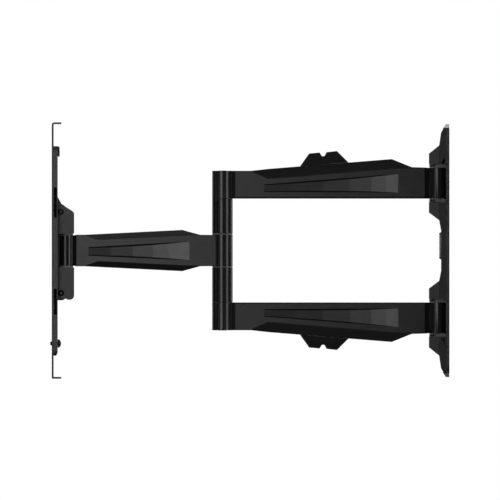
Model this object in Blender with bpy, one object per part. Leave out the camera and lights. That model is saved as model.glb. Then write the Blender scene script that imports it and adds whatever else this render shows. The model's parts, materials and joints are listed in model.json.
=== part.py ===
"""Full-motion television wall mount, built as separate pieces in its extended pose.

The frame: the wall is the plane Y = 0, the television side is -Y, +Z is up and X runs along the wall.
The origin is the middle of the wall plate's back face. All dimensions below are in millimetres.
"Depth" always means the distance from the wall, so a depth of d lies at Y = -d.
"""
import math

import bmesh
import bpy
from mathutils import Matrix, Vector

MM = 0.001
GAP = 0.3  # air around pins and between curved pieces
TOUCH = 0.02  # air between flat faces that rest on each other

# Driving dimensions
WALL_AXIS_DEPTH = 20.0
ARM_REACH = 366.0
FOREARM_REACH = 266.0
TV_FACE_OFFSET = 24.1  # from the head axis to the television side of the rails
MOUNT_HALF_HEIGHT = 218.0
RAIL_SPACING = 400.0

ELBOW_DEPTH = WALL_AXIS_DEPTH + ARM_REACH
HEAD_DEPTH = ELBOW_DEPTH + FOREARM_REACH
TV_FACE_DEPTH = HEAD_DEPTH + TV_FACE_OFFSET

# Round pieces: radii on the three vertical axes
WALL_KNUCKLE_RADIUS = 14.4
COLUMN_RADIUS = 17.5
HEAD_KNUCKLE_RADIUS = 13.0
WALL_PIN_RADIUS = 5.0
SHAFT_RADIUS = 7.5
HEAD_PIN_RADIUS = 4.5
BUSH_WALL = 1.7
VISIBLE_SIDES = 32
HIDDEN_SIDES = 20

# Heights of the upper arm; the lower arm is its mirror image
ARM_LOW = 88.2
WALL_KNUCKLE_LOW = ARM_LOW
WALL_KNUCKLE_TOP = 141.0
ELBOW_KNUCKLE_TOP = 135.6
ARM_HALF_WIDTH = 13.4
ARM_CHAMFER = 1.6
ARM_CHAMFER_RISE = 2.6
ARM_PEAK = 155.5  # height of the arm's top near the wall
ARM_DIP = 138.8  # and where its ridge ends near the elbow
RIDGE_HALF_WIDTH = 6.2
FOREARM_HALF_WIDTH = 13.0
POCKET_SCOOP = ((0.0, 0.15), (0.09, 1.7), (0.2, 3.1), (0.36, 4.2), (0.56, 4.6), (0.78, 4.0), (1.0, 2.6))
POCKET_LEAN = 0.6  # how far a recess wall leans in for each millimetre of depth
ELBOW_EYE_HALF_HEIGHT = 27.4
HEAD_EYE_HALF_HEIGHT = 25.9
CLIP_START = 151.6  # along the arm from the wall axis
CLIP_END = 234.1
CLIP_FOOT_HALF_WIDTH = 7.5
CLIP_TOP_HALF_WIDTH = 5.5
CLIP_TUNNEL_HALF_WIDTH = 4.4
CAP_RADIUS = 11.0
CAP_THICKNESS = 3.6

# Wall side
PLATE_THICKNESS = 4.0
PLATE_HALF_WIDTH = 60.0
PLATE_HALF_HEIGHT = 208.6
TRIM_HEIGHT = 6.6
TRIM_GROOVE = 3.0  # shadow line between a cover and its end trim
WING_DEPTH = 6.2  # the covers' thin side strips, which pass behind the turning arms
LUG_THICKNESS = 5.0
LUG_FOOT_LENGTH = 28.0
LUG_FOOT_THICKNESS = 3.0
LUG_BOLT_PLACE = 17.4  # along the foot, from the eye
WASHER_THICKNESS = 1.0
ELBOW_WASHER_THICKNESS = 1.2
COVER_HALF_WIDTH = 41.0
COVER_FRONT_HALF_WIDTH = 36.0
COVER_DEPTH = 17.5
WING_INNER = 22.0
BOSS_HALF_WIDTH = 24.0
BOSS_FRONT_HALF_WIDTH = 22.6
BOSS_DEPTH = 34.9
SHELL_WALL = 2.0
LAG_SLOT_X = 50.0
LAG_SLOT_WIDTH = 9.0
LAG_SLOT_LENGTH = 40.0
LAG_SLOT_HEIGHTS = (-175.0, 0.0, 175.0)

# Head, carrier and rails
SIDE_PLATE_THICKNESS = 3.0
SIDE_PLATE_OUTER = 28.0
HEAD_REAR = 14.0  # from the head axis to the bracket's wall side
YOKE_LOW = 28.9
YOKE_THICKNESS = 3.0
SADDLE_HALF_WIDTH = 13.0
LOCK_BOLT = (8.8, 65.8)  # how far beyond the head axis, height
PIVOT_BOLT = (8.4, -72.4)
TILT_BOLT_RADIUS = 3.0
TILT_HEAD_RADIUS = 5.1
EAR_OUTER = 24.4
EAR_THICKNESS = 3.0
CARRIER_REAR_OFFSET = 14.0
CARRIER_SHEET = 2.6
CARRIER_HALF_WIDTH = 222.0
CARRIER_TOP = 174.0
CARRIER_BOTTOM = -178.8
POCKET_LEVELS = ((56.0, 107.0), (-109.0, -65.0))
POCKET_DEPTH = 30.0
RAIL_SHEET = 3.2
RAIL_HALF_WIDTH = 23.0
RAIL_FLANGE_LENGTH = 16.3
RAIL_SLOT_WIDTH = 7.0
RAIL_SLOT_ENDS = (94.0, 206.0)
HOOK_WIDTH = 16.0
KNOB_X = 186.0
KNOB_Z = -158.0
KNOB_RADIUS = 7.1
KNOB_SHANK_RADIUS = 3.7
KNOB_TIP = 2.6
RAIL_TRAVEL = 100.0

RAIL_BACK = TV_FACE_DEPTH - RAIL_SHEET
CARRIER_REAR = HEAD_DEPTH + CARRIER_REAR_OFFSET
CARRIER_FRONT = RAIL_BACK - TOUCH

BLACK_PAINT = ("black_satin_paint", (0.028, 0.028, 0.030), 0.42, 0.0)
BLACK_CASTING = ("black_coated_casting", (0.030, 0.030, 0.032), 0.38, 0.0)
BLACK_PLASTIC = ("black_plastic", (0.022, 0.022, 0.023), 0.50, 0.0)
DARK_STEEL = ("blackened_steel", (0.015, 0.015, 0.016), 0.35, 0.6)
PALE_TRIM = ("pale_trim", (0.33, 0.40, 0.48), 0.40, 0.2)
PALE_LENS = ("pale_lens", (0.30, 0.31, 0.31), 0.25, 0.0)
NYLON = ("pale_nylon", (0.45, 0.45, 0.44), 0.55, 0.0)
STEEL = ("plain_steel", (0.50, 0.50, 0.50), 0.35, 1.0)


# ---- Scene and geometry helpers ----

def clear_scene():
    for item in list(bpy.data.objects):
        bpy.data.objects.remove(item, do_unlink=True)


def get_material(look):
    name, colour, roughness, metallic = look
    found = bpy.data.materials.get(name)
    if found:
        return found
    made = bpy.data.materials.new(name)
    made.use_nodes = True
    shader = made.node_tree.nodes["Principled BSDF"]
    shader.inputs["Base Color"].default_value = (*colour, 1.0)
    shader.inputs["Roughness"].default_value = roughness
    shader.inputs["Metallic"].default_value = metallic
    return made


def make_pivot(name, parent, depth, height=0.0, across=0.0):
    """An empty on a joint's axis, placed by its location under its parent."""
    pivot = bpy.data.objects.new(name, None)
    bpy.context.scene.collection.objects.link(pivot)
    place = Vector((across, -depth, height)) * MM
    pivot.location = place
    if parent:
        pivot.parent = parent
        pivot.location = place - Vector(parent["world"])
    pivot["world"] = place
    return pivot


def finish_object(name, shape, look, pivot):
    """Turn a bmesh built in millimetres and world axes into a named object under its pivot."""
    bmesh.ops.remove_doubles(shape, verts=shape.verts, dist=0.0005)
    bmesh.ops.recalc_face_normals(shape, faces=shape.faces)
    mesh = bpy.data.meshes.new(name)
    shape.to_mesh(mesh)
    shape.free()
    origin = Vector(pivot["world"])
    mesh.transform(Matrix.Translation(-origin) @ Matrix.Scale(MM, 4))
    mesh.shade_smooth()
    mesh.set_sharp_from_angle(angle=math.radians(32))
    mesh.materials.append(get_material(look))
    made = bpy.data.objects.new(name, mesh)
    made.parent = pivot
    bpy.context.scene.collection.objects.link(made)
    return made


def extrude(points, direction):
    """A closed prism: a planar outline of 3-D points pushed along a vector."""
    shape = bmesh.new()
    low = [shape.verts.new(point) for point in points]
    high = [shape.verts.new(Vector(point) + Vector(direction)) for point in points]
    shape.faces.new(low)
    shape.faces.new(list(reversed(high)))
    for index in range(len(points)):
        following = (index + 1) % len(points)
        shape.faces.new((low[index], high[index], high[following], low[following]))
    bmesh.ops.recalc_face_normals(shape, faces=shape.faces)
    return shape


def loft(sections):
    """A closed solid through a list of sections that all have the same number of points."""
    shape = bmesh.new()
    rings = [[shape.verts.new(point) for point in section] for section in sections]
    shape.faces.new(rings[0])
    shape.faces.new(list(reversed(rings[-1])))
    for first, second in zip(rings, rings[1:]):
        for index in range(len(first)):
            following = (index + 1) % len(first)
            shape.faces.new((first[index], second[index], second[following], first[following]))
    bmesh.ops.recalc_face_normals(shape, faces=shape.faces)
    return shape


def rounded(corners, steps=4):
    """An outline whose (a, b, radius) corners are arcs; a radius of 0 keeps the corner sharp."""
    outline = []
    for index, (a, b, radius) in enumerate(corners):
        corner = Vector((a, b))
        if radius == 0:
            outline.append(corner)
            continue
        back = (Vector(corners[index - 1][:2]) - corner).normalized()
        ahead = (Vector(corners[(index + 1) % len(corners)][:2]) - corner).normalized()
        half_angle = back.angle(ahead) / 2
        centre = corner + (back + ahead).normalized() * (radius / math.sin(half_angle))
        start = corner + back * (radius / math.tan(half_angle)) - centre
        end = corner + ahead * (radius / math.tan(half_angle)) - centre
        turn = math.atan2(start.x * end.y - start.y * end.x, start.dot(end))
        for step in range(steps + 1):
            angle = turn * step / steps
            spun = Vector((start.x * math.cos(angle) - start.y * math.sin(angle),
                           start.x * math.sin(angle) + start.y * math.cos(angle)))
            outline.append(centre + spun)
    return outline


def side_prism(outline, x_low, x_high):
    """A (depth, height) outline pushed along X."""
    points = [(x_low, -depth, height) for depth, height in outline]
    return extrude(points, (x_high - x_low, 0, 0))


def face_prism(outline, depth_low, depth_high):
    """An (x, height) outline pushed away from the wall."""
    points = [(x, -depth_low, height) for x, height in outline]
    return extrude(points, (0, depth_low - depth_high, 0))


def plan_prism(outline, z_low, z_high):
    """An (x, depth) outline pushed upwards."""
    points = [(x, -depth, z_low) for x, depth in outline]
    return extrude(points, (0, 0, z_high - z_low))


def box(x_low, x_high, depth_low, depth_high, z_low, z_high):
    outline = ((x_low, depth_low), (x_high, depth_low), (x_high, depth_high), (x_low, depth_high))
    return plan_prism(outline, z_low, z_high)


def circle(radius, sides, centre=(0.0, 0.0), turn=0.0):
    angles = [math.tau * side / sides + turn for side in range(sides)]
    return [(centre[0] + radius * math.cos(a), centre[1] + radius * math.sin(a)) for a in angles]


def post(radius, depth, z_low, z_high, sides=VISIBLE_SIDES):
    """An upright cylinder at X = 0."""
    return plan_prism(circle(radius, sides, (0.0, depth)), z_low, z_high)


def tube(inner, outer, depth, z_low, z_high, sides=VISIBLE_SIDES):
    return cut(post(outer, depth, z_low, z_high, sides), [post(inner, depth, z_low - 1, z_high + 1, sides)])


def turned(profile, axis, centre, sides):
    """A solid of revolution: (radius, along) points, with radius 0 at both ends, about an axis."""
    shape = bmesh.new()
    along_axis = Vector(axis)
    across = along_axis.orthogonal().normalized()
    other = along_axis.cross(across)
    rings = []
    for radius, along in profile:
        middle = Vector(centre) + along_axis * along
        if radius == 0:
            rings.append([shape.verts.new(middle)])
            continue
        ring = []
        for side in range(sides):
            angle = math.tau * side / sides
            spoke = across * math.cos(angle) + other * math.sin(angle)
            ring.append(shape.verts.new(middle + spoke * radius))
        rings.append(ring)
    for first, second in zip(rings, rings[1:]):
        for side in range(sides):
            following = (side + 1) % sides
            corners = [first[side % len(first)], second[side % len(second)],
                       second[following % len(second)], first[following % len(first)]]
            shape.faces.new(list(dict.fromkeys(corners)))
    bmesh.ops.recalc_face_normals(shape, faces=shape.faces)
    return shape


def as_object(shape):
    mesh = bpy.data.meshes.new("working_shape")
    shape.to_mesh(mesh)
    shape.free()
    made = bpy.data.objects.new("working_shape", mesh)
    bpy.context.scene.collection.objects.link(made)
    return made


def combine(base, others, operation):
    """Boolean the other shapes into the base one after another and return the new bmesh."""
    body = as_object(base)
    helpers = []
    for other in others:
        helper = as_object(other)
        modifier = body.modifiers.new(operation.lower(), "BOOLEAN")
        modifier.operation = operation
        modifier.solver = "EXACT"
        modifier.object = helper
        helpers.append(helper)
    bpy.context.view_layer.update()
    graph = bpy.context.evaluated_depsgraph_get()
    evaluated = body.evaluated_get(graph)
    result = bmesh.new()
    result.from_mesh(evaluated.to_mesh())
    evaluated.to_mesh_clear()
    for used in [body] + helpers:
        mesh = used.data
        bpy.data.objects.remove(used, do_unlink=True)
        bpy.data.meshes.remove(mesh)
    return result


def cut(base, cutters):
    return combine(base, cutters, "DIFFERENCE")


def join(base, additions):
    return combine(base, additions, "UNION")


def mirrored_z(shape):
    """The same shape reflected in the plane Z = 0."""
    bmesh.ops.transform(shape, matrix=Matrix.Scale(-1, 4, (0, 0, 1)), verts=shape.verts)
    bmesh.ops.reverse_faces(shape, faces=shape.faces)
    return shape


def slot_outline(x, z, width, height, steps=4):
    radius = min(width, height) / 2 - 0.01
    corners = [(x - width / 2, z - height / 2, radius), (x + width / 2, z - height / 2, radius),
               (x + width / 2, z + height / 2, radius), (x - width / 2, z + height / 2, radius)]
    return rounded(corners, steps)


def add_pair(name, make, look, pivot):
    """The same piece above and below the middle, the lower one as a mirror image."""
    finish_object("upper_" + name, make(), look, pivot)
    finish_object("lower_" + name, mirrored_z(make()), look, pivot)


# ---- Wall plate, hinge lugs and covers ----

def wall_plate():
    corner = 14.0
    wide, tall = PLATE_HALF_WIDTH, PLATE_HALF_HEIGHT
    outline = [(-wide, -tall + corner), (-wide + corner, -tall),
               (wide - corner, -tall), (wide, -tall + corner),
               (wide, tall - corner), (wide - corner, tall),
               (-wide + corner, tall), (-wide, tall - corner)]
    plate = face_prism(outline, 0, PLATE_THICKNESS)
    holes = []
    for x in (-LAG_SLOT_X, LAG_SLOT_X):
        for z in LAG_SLOT_HEIGHTS:
            slot = slot_outline(x, z, LAG_SLOT_WIDTH, LAG_SLOT_LENGTH)
            holes.append(face_prism(slot, -1, PLATE_THICKNESS + 1))
    for z in lug_bolt_heights():
        holes.append(face_prism(circle(4.0 + GAP, HIDDEN_SIDES, (0, z)), -1, PLATE_THICKNESS + 1))
    return cut(plate, holes)


def lug_levels():
    """For the two lugs around the upper wall knuckle: the knuckle side and the way away from it."""
    clear = WASHER_THICKNESS + 2 * TOUCH
    return {"outer": (WALL_KNUCKLE_TOP + clear, 1), "inner": (WALL_KNUCKLE_LOW - clear, -1)}


def lug_bolt_heights():
    heights = []
    for start, way in lug_levels().values():
        height = start + way * (LUG_THICKNESS + LUG_BOLT_PLACE)
        heights += [height, -height]
    return heights


def hinge_lug(level):
    """A horizontal eye that holds the hinge pin, on a foot bolted to the wall plate."""
    start, way = lug_levels()[level]
    foot_back = PLATE_THICKNESS + TOUCH
    end = start + way * LUG_THICKNESS
    half = 16.0
    arc = [(WALL_KNUCKLE_RADIUS * math.cos(a), WALL_AXIS_DEPTH + WALL_KNUCKLE_RADIUS * math.sin(a))
           for a in [math.pi * step / 12 for step in range(13)]]
    outline = [(-half, foot_back), (half, foot_back), *arc]
    eye = plan_prism(outline, min(start, end), max(start, end))
    foot_end = end + way * LUG_FOOT_LENGTH
    foot_front = foot_back + LUG_FOOT_THICKNESS
    foot = box(-20, 20, foot_back, foot_front, min(start, foot_end), max(start, foot_end))
    lug = join(eye, [foot])
    bolt_z = start + way * (LUG_THICKNESS + LUG_BOLT_PLACE)
    pin_low, pin_high = min(start, end) - 1, max(start, end) + 1
    pin_hole = post(WALL_PIN_RADIUS + GAP, WALL_AXIS_DEPTH, pin_low, pin_high, HIDDEN_SIDES)
    bolt_hole = face_prism(circle(4.0 + GAP, HIDDEN_SIDES, (0, bolt_z)), 0, 20)
    return cut(lug, [pin_hole, bolt_hole])


def lug_bolt(level):
    start, way = lug_levels()[level]
    height = start + way * (LUG_THICKNESS + LUG_BOLT_PLACE)
    seat = PLATE_THICKNESS + LUG_FOOT_THICKNESS + 2 * TOUCH
    profile = [(0, 0.6), (4.0, 0.6), (4.0, seat), (6.5, seat),
               (6.5, seat + 4.0), (5.0, seat + 5.0), (0, seat + 5.0)]
    return turned(profile, (0, -1, 0), (0, 0, height), HIDDEN_SIDES)


def hinge_pin():
    top = lug_levels()["outer"][0] + LUG_THICKNESS + TOUCH
    bottom = lug_levels()["inner"][0] - LUG_THICKNESS - 4.5
    profile = [(0, bottom), (WALL_PIN_RADIUS, bottom), (WALL_PIN_RADIUS, top), (8.0, top),
               (8.0, top + 3.0), (6.5, top + 4.0), (0, top + 4.0)]
    return turned(profile, (0, 0, 1), (0, -WALL_AXIS_DEPTH, 0), HIDDEN_SIDES)


def hinge_pin_clip():
    top = lug_levels()["inner"][0] - LUG_THICKNESS - TOUCH
    return tube(WALL_PIN_RADIUS + GAP, 8.0, WALL_AXIS_DEPTH, top - 2.4, top, HIDDEN_SIDES)


def wall_washer(level):
    start, way = {"outer": (WALL_KNUCKLE_TOP, 1), "inner": (WALL_KNUCKLE_LOW, -1)}[level]
    near = start + way * TOUCH
    far = near + way * WASHER_THICKNESS
    return tube(WALL_PIN_RADIUS + GAP, 13.8, WALL_AXIS_DEPTH, min(near, far), max(near, far))


def tapered_block(profile, back, back_half, front, front_half):
    """A (depth, height) profile with slanted sides: its half width shrinks from back to front."""
    sections = []
    for side in (-1, 1):
        section = []
        for depth, height in profile:
            share = (depth - back) / (front - back)
            half = back_half + (front_half - back_half) * share
            section.append((side * half, -depth, height))
        sections.append(section)
    return loft(sections)


def hollow_cover(main, main_inside, bosses):
    """A faceted shell, open towards the wall, with a raised boss over each hinge lug."""
    back = PLATE_THICKNESS + TOUCH
    side = SHELL_WALL + GAP
    cover = (back, COVER_HALF_WIDTH, COVER_DEPTH, COVER_FRONT_HALF_WIDTH)
    cover_inside = (back, COVER_HALF_WIDTH - side, COVER_DEPTH, COVER_FRONT_HALF_WIDTH - side)
    raised = (back, BOSS_HALF_WIDTH, BOSS_DEPTH, BOSS_FRONT_HALF_WIDTH)
    raised_inside = (back, BOSS_HALF_WIDTH - side, BOSS_DEPTH, BOSS_FRONT_HALF_WIDTH - side)
    shell = join(tapered_block(main, *cover), [tapered_block(boss, *raised) for boss, _ in bosses])
    hollows = [tapered_block(main_inside, *cover_inside)]
    hollows += [tapered_block(boss_inside, *raised_inside) for _, boss_inside in bosses]
    return cut(shell, hollows)


def boss_profiles(near, far):
    """Outer and inner (depth, height) profiles of a boss between its lug and its sloping far end."""
    way = 1 if far > near else -1
    start = PLATE_THICKNESS + GAP + 0.5
    outer = [(start, near), (BOSS_DEPTH, near), (BOSS_DEPTH, near + way * 17.6),
             (COVER_DEPTH - 0.1, far), (start, far)]
    slope = far - way * 2.2
    inner = [(0, near - way * 1), (BOSS_DEPTH - SHELL_WALL, near - way * 1),
             (BOSS_DEPTH - SHELL_WALL, near + way * 16.4), (COVER_DEPTH - 2.6, slope), (0, slope)]
    return outer, inner


def end_cover():
    """The cover beyond the upper hinge, with a narrow neck that reaches on to the end trim."""
    near = lug_levels()["outer"][0] + LUG_THICKNESS + TOUCH
    back = PLATE_THICKNESS + TOUCH
    top = PLATE_HALF_HEIGHT - TRIM_GROOVE
    main = [(back, near), (COVER_DEPTH, near), (COVER_DEPTH, 178.8), (14.4, 200.0), (11.4, top), (back, top)]
    inside = [(0, near - 1), (COVER_DEPTH - SHELL_WALL, near - 1), (COVER_DEPTH - SHELL_WALL, 178.2),
              (12.4, 198.6), (9.9, top - SHELL_WALL), (0, top - SHELL_WALL)]
    shell = hollow_cover(main, inside, [boss_profiles(near, 178.8)])
    wing_end = lug_levels()["inner"][0] - LUG_THICKNESS
    wings, ribs, notches = [], [], []
    for way in (-1, 1):
        edges = sorted((way * WING_INNER, way * (COVER_HALF_WIDTH - 1.0)))
        wings.append(box(*edges, back, WING_DEPTH, wing_end, near + 2))
        edges = sorted((way * 10.5, way * 12.5))
        ribs.append(box(*edges, back + LUG_FOOT_THICKNESS + GAP, BOSS_DEPTH - 1, near, near + 15))
        edges = sorted((way * (BOSS_HALF_WIDTH + 2), way * (COVER_HALF_WIDTH + 5)))
        notches.append(side_prism([(7.8, near - 2), (16.2, near - 2), (7.8, near + 12)], *edges))
    neck = box(-8, 8, back, 11.0, top - 1, PLATE_HALF_HEIGHT)
    return join(cut(join(shell, wings), notches), [neck, *ribs])


def middle_cover():
    near = lug_levels()["inner"][0] - LUG_THICKNESS - TOUCH
    back = PLATE_THICKNESS + TOUCH
    main = [(back, -near), (COVER_DEPTH, -near), (COVER_DEPTH, -51.3), (14.2, -34.0), (14.2, 34.0),
            (COVER_DEPTH, 51.3), (COVER_DEPTH, near), (back, near)]
    thin = SHELL_WALL
    inside = [(0, -near - 1), (COVER_DEPTH - thin, -near - 1), (COVER_DEPTH - thin, -51.3),
              (14.2 - thin, -34.0), (14.2 - thin, 34.0), (COVER_DEPTH - thin, 51.3),
              (COVER_DEPTH - thin, near + 1), (0, near + 1)]
    bosses = [boss_profiles(near, 51.3), boss_profiles(-near, -51.3)]
    return hollow_cover(main, inside, bosses)


def end_trim():
    """A cap over the end of the wall plate."""
    low = PLATE_HALF_HEIGHT + TOUCH
    top = low + TRIM_HEIGHT
    profile = [(GAP, low), (10.4, low), (6.0, top), (GAP, top)]
    return tapered_block(profile, GAP, 46.0, 10.4, 43.0)


def level_vial():
    """A half-round strip set upright on the middle cover."""
    seat = 14.2 + TOUCH
    half = 23.0
    middle = 8.0
    profile = [(seat, middle - half), (seat + 2.2, middle - half + 2), (seat + 3.1, middle - 10),
               (seat + 3.1, middle + 10), (seat + 2.2, middle + half - 2), (seat, middle + half)]
    return side_prism(profile, -5.0, 5.0)


def build_wall_side(pivot):
    finish_object("wall_plate", wall_plate(), BLACK_PAINT, pivot)
    for level in ("outer", "inner"):
        add_pair("hinge_lug_" + level, lambda: hinge_lug(level), BLACK_PAINT, pivot)
        add_pair("lug_bolt_" + level, lambda: lug_bolt(level), STEEL, pivot)
        add_pair("hinge_washer_" + level, lambda: wall_washer(level), NYLON, pivot)
    add_pair("hinge_pin", hinge_pin, STEEL, pivot)
    add_pair("hinge_pin_clip", hinge_pin_clip, STEEL, pivot)
    add_pair("wall_cover", end_cover, BLACK_PLASTIC, pivot)
    finish_object("middle_wall_cover", middle_cover(), BLACK_PLASTIC, pivot)
    add_pair("end_trim", end_trim, PALE_TRIM, pivot)
    finish_object("level_vial", level_vial(), PALE_LENS, pivot)


# ---- The two wall arms and the elbow column ----

def arm_section(reach, half, side, top, top_half):
    """An arm's cross-section: flat sides, chamfered underside, sloping upper facets."""
    depth = WALL_AXIS_DEPTH + reach
    right = [(half - ARM_CHAMFER, ARM_LOW), (half, ARM_LOW + ARM_CHAMFER_RISE), (half, side), (top_half, top)]
    left = [(-x, z) for x, z in reversed(right)]
    return [(x, -depth, z) for x, z in right + left]


def wedge_pocket(ends, half_width, side, axis_depth):
    """A cutter for the scooped wedge recess on one side of an arm, between its wide and its narrow end."""
    (first, first_low, first_high), (last, last_low, last_high) = ends
    sections = []
    for share, scoop in POCKET_SCOOP:
        y = -(axis_depth + first + (last - first) * share)
        low = first_low + (last_low - first_low) * share
        high = first_high + (last_high - first_high) * share
        inner, outer = side * (half_width - scoop), side * (half_width + 2)
        lean, flare = scoop * POCKET_LEAN, 2 * POCKET_LEAN
        sections.append([(inner, y, low + lean), (outer, y, low - flare), (outer, y, high + flare),
                         (inner, y, high - lean)])
    return loft(sections)


def wall_arm():
    wide = ARM_HALF_WIDTH
    # Each station: reach, half width, height of the side's top, height of the flat top, its half width
    ridge = RIDGE_HALF_WIDTH
    stations = [(8, 9.0, 134.0, 140.6, 6.0), (15, 9.6, 134.0, 140.6, 6.0), (22, wide, 138.6, 141.2, 9.0),
                (44, wide, 140.0, 141.8, 9.0), (78, wide, 138.8, ARM_PEAK, ridge),
                (288, wide, 121.4, ARM_DIP, ridge), (317, wide, 134.2, 135.5, 9.0),
                (344, wide, 134.6, 135.5, 10.0), (352, 9.4, 134.6, 135.5, 7.0), (358, 9.4, 134.6, 135.5, 7.0)]
    sections = [arm_section(*station) for station in stations]
    wall_eye = post(WALL_KNUCKLE_RADIUS, WALL_AXIS_DEPTH, WALL_KNUCKLE_LOW, WALL_KNUCKLE_TOP)
    elbow_eye = post(COLUMN_RADIUS, ELBOW_DEPTH, ARM_LOW, ELBOW_KNUCKLE_TOP)
    arm = join(loft(sections), [wall_eye, elbow_eye])
    pocket = [(67, 98.3, 130.4), (294.6, 99.6, 112.4)]
    wall_bore = WALL_PIN_RADIUS + BUSH_WALL + 2 * GAP
    cap_seat = ELBOW_KNUCKLE_TOP - CAP_THICKNESS - GAP
    cutters = [post(wall_bore, WALL_AXIS_DEPTH, 80, 150, HIDDEN_SIDES),
               post(SHAFT_RADIUS + GAP, ELBOW_DEPTH, 80, 150, HIDDEN_SIDES),
               post(CAP_RADIUS + GAP, ELBOW_DEPTH, cap_seat, 150, HIDDEN_SIDES)]
    for side in (-1, 1):
        cutters.append(wedge_pocket(pocket, wide, side, WALL_AXIS_DEPTH))
    return cut(arm, cutters)


def arm_top(reach):
    """Height of the arm's top edge between its two high stations."""
    return ARM_PEAK + (ARM_DIP - ARM_PEAK) * (reach - 78) / (288 - 78)


def cable_clip():
    """A bridge over the arm's ridge, narrower towards its top, with a cable tunnel and a tie notch."""
    start, end = CLIP_START, CLIP_END
    outline = rounded([(start, arm_top(start) + TOUCH, 0), (171.2, 169.2, 1.5), (188.9, 167.2, 1),
                       (192.3, 160.5, 2), (196.9, 160.3, 2), (200.6, 166.6, 1), (218.5, 165.0, 1.5),
                       (end, arm_top(end) + TOUCH, 0)])
    bridge = side_prism([(WALL_AXIS_DEPTH + reach, height) for reach, height in outline], -14.0, 14.0)
    shoulders = []
    for side in (-1, 1):
        sections = []
        for reach in (start - 10, end + 10):
            low, bend, high = arm_top(reach) - 3, arm_top(reach) + 9, arm_top(reach) + 40
            edge = [(20.0, low), (CLIP_FOOT_HALF_WIDTH, low), (CLIP_FOOT_HALF_WIDTH - 0.8, bend),
                    (CLIP_TOP_HALF_WIDTH, bend + 9), (CLIP_TOP_HALF_WIDTH, high), (20.0, high)]
            sections.append([(side * x, -(WALL_AXIS_DEPTH + reach), z) for x, z in edge])
        shoulders.append(loft(sections))
    tunnel = [(start - 5, arm_top(start) - 2), (start - 5, 156.8),
              (end + 5, 155.4), (end + 5, arm_top(end) - 2)]
    hollow = side_prism([(WALL_AXIS_DEPTH + reach, height) for reach, height in tunnel],
                        -CLIP_TUNNEL_HALF_WIDTH, CLIP_TUNNEL_HALF_WIDTH)
    return cut(bridge, [hollow, *shoulders])


def bush(pin_radius, depth, low, high):
    """A thin sleeve around a pin, a little shorter than the eye it lines."""
    inner = pin_radius + GAP
    return tube(inner, inner + BUSH_WALL, depth, low + 0.4, high - 0.4, HIDDEN_SIDES)


def wall_bush():
    return bush(WALL_PIN_RADIUS, WALL_AXIS_DEPTH, WALL_KNUCKLE_LOW, WALL_KNUCKLE_TOP)


def spacer_sleeve():
    low = ELBOW_EYE_HALF_HEIGHT + 2 * TOUCH + ELBOW_WASHER_THICKNESS
    return tube(SHAFT_RADIUS + GAP, COLUMN_RADIUS, ELBOW_DEPTH, low, ARM_LOW - TOUCH)


def elbow_cap():
    low = ELBOW_KNUCKLE_TOP - CAP_THICKNESS
    profile = [(0, low), (CAP_RADIUS, low), (CAP_RADIUS, ELBOW_KNUCKLE_TOP - 0.8),
               (CAP_RADIUS - 0.8, ELBOW_KNUCKLE_TOP), (0, ELBOW_KNUCKLE_TOP)]
    return turned(profile, (0, 0, 1), (0, -ELBOW_DEPTH, 0), HIDDEN_SIDES)


def build_wall_arms(pivot):
    add_pair("arm", wall_arm, BLACK_CASTING, pivot)
    add_pair("cable_clip", cable_clip, BLACK_PLASTIC, pivot)
    add_pair("wall_bush", wall_bush, NYLON, pivot)
    add_pair("spacer_sleeve", spacer_sleeve, BLACK_CASTING, pivot)
    add_pair("elbow_cap", elbow_cap, BLACK_PLASTIC, pivot)
    half = ELBOW_KNUCKLE_TOP - CAP_THICKNESS - 2 * GAP
    finish_object("elbow_shaft", post(SHAFT_RADIUS, ELBOW_DEPTH, -half, half, HIDDEN_SIDES), STEEL, pivot)


# ---- The forearm ----

def forearm_section(reach, half, side, top, top_half):
    depth = ELBOW_DEPTH + reach
    right = [(top_half, -top), (half, -side), (half, side), (top_half, top)]
    left = [(-x, z) for x, z in reversed(right)]
    return [(x, -depth, z) for x, z in right + left]


def forearm():
    wide = FOREARM_HALF_WIDTH
    # Each station: reach, half width, height of the side's edge, height of the flat top, its half width
    stations = [(8, wide, 25.7, 26.6, 9.0), (26, wide, 25.7, 26.6, 9.0), (38, wide, 25.9, 26.8, 8.0),
                (68, wide, 25.0, 35.1, 5.0), (211, wide, 17.8, 28.0, 5.0), (234, wide, 25.9, 26.9, 8.0),
                (248, wide, 25.9, 26.9, 8.0), (255, 8.8, 24.6, 25.4, 7.0), (258, 8.8, 24.6, 25.4, 7.0)]
    sections = [forearm_section(*station) for station in stations]
    elbow_eye = post(COLUMN_RADIUS, ELBOW_DEPTH, -ELBOW_EYE_HALF_HEIGHT, ELBOW_EYE_HALF_HEIGHT)
    head_eye = post(HEAD_KNUCKLE_RADIUS, HEAD_DEPTH, -HEAD_EYE_HALF_HEIGHT, HEAD_EYE_HALF_HEIGHT)
    arm = join(loft(sections), [elbow_eye, head_eye])
    pocket = [(56, -16.6, 15.4), (227.6, -9.0, 5.8)]
    cutters = [post(SHAFT_RADIUS + BUSH_WALL + 2 * GAP, ELBOW_DEPTH, -40, 40, HIDDEN_SIDES),
               post(HEAD_PIN_RADIUS + BUSH_WALL + 2 * GAP, HEAD_DEPTH, -40, 40, HIDDEN_SIDES)]
    for side in (-1, 1):
        cutters.append(wedge_pocket(pocket, wide, side, ELBOW_DEPTH))
    return cut(arm, cutters)


def elbow_washer():
    low = ELBOW_EYE_HALF_HEIGHT + TOUCH
    return tube(SHAFT_RADIUS + GAP, COLUMN_RADIUS - 0.6, ELBOW_DEPTH, low, low + ELBOW_WASHER_THICKNESS)


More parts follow.
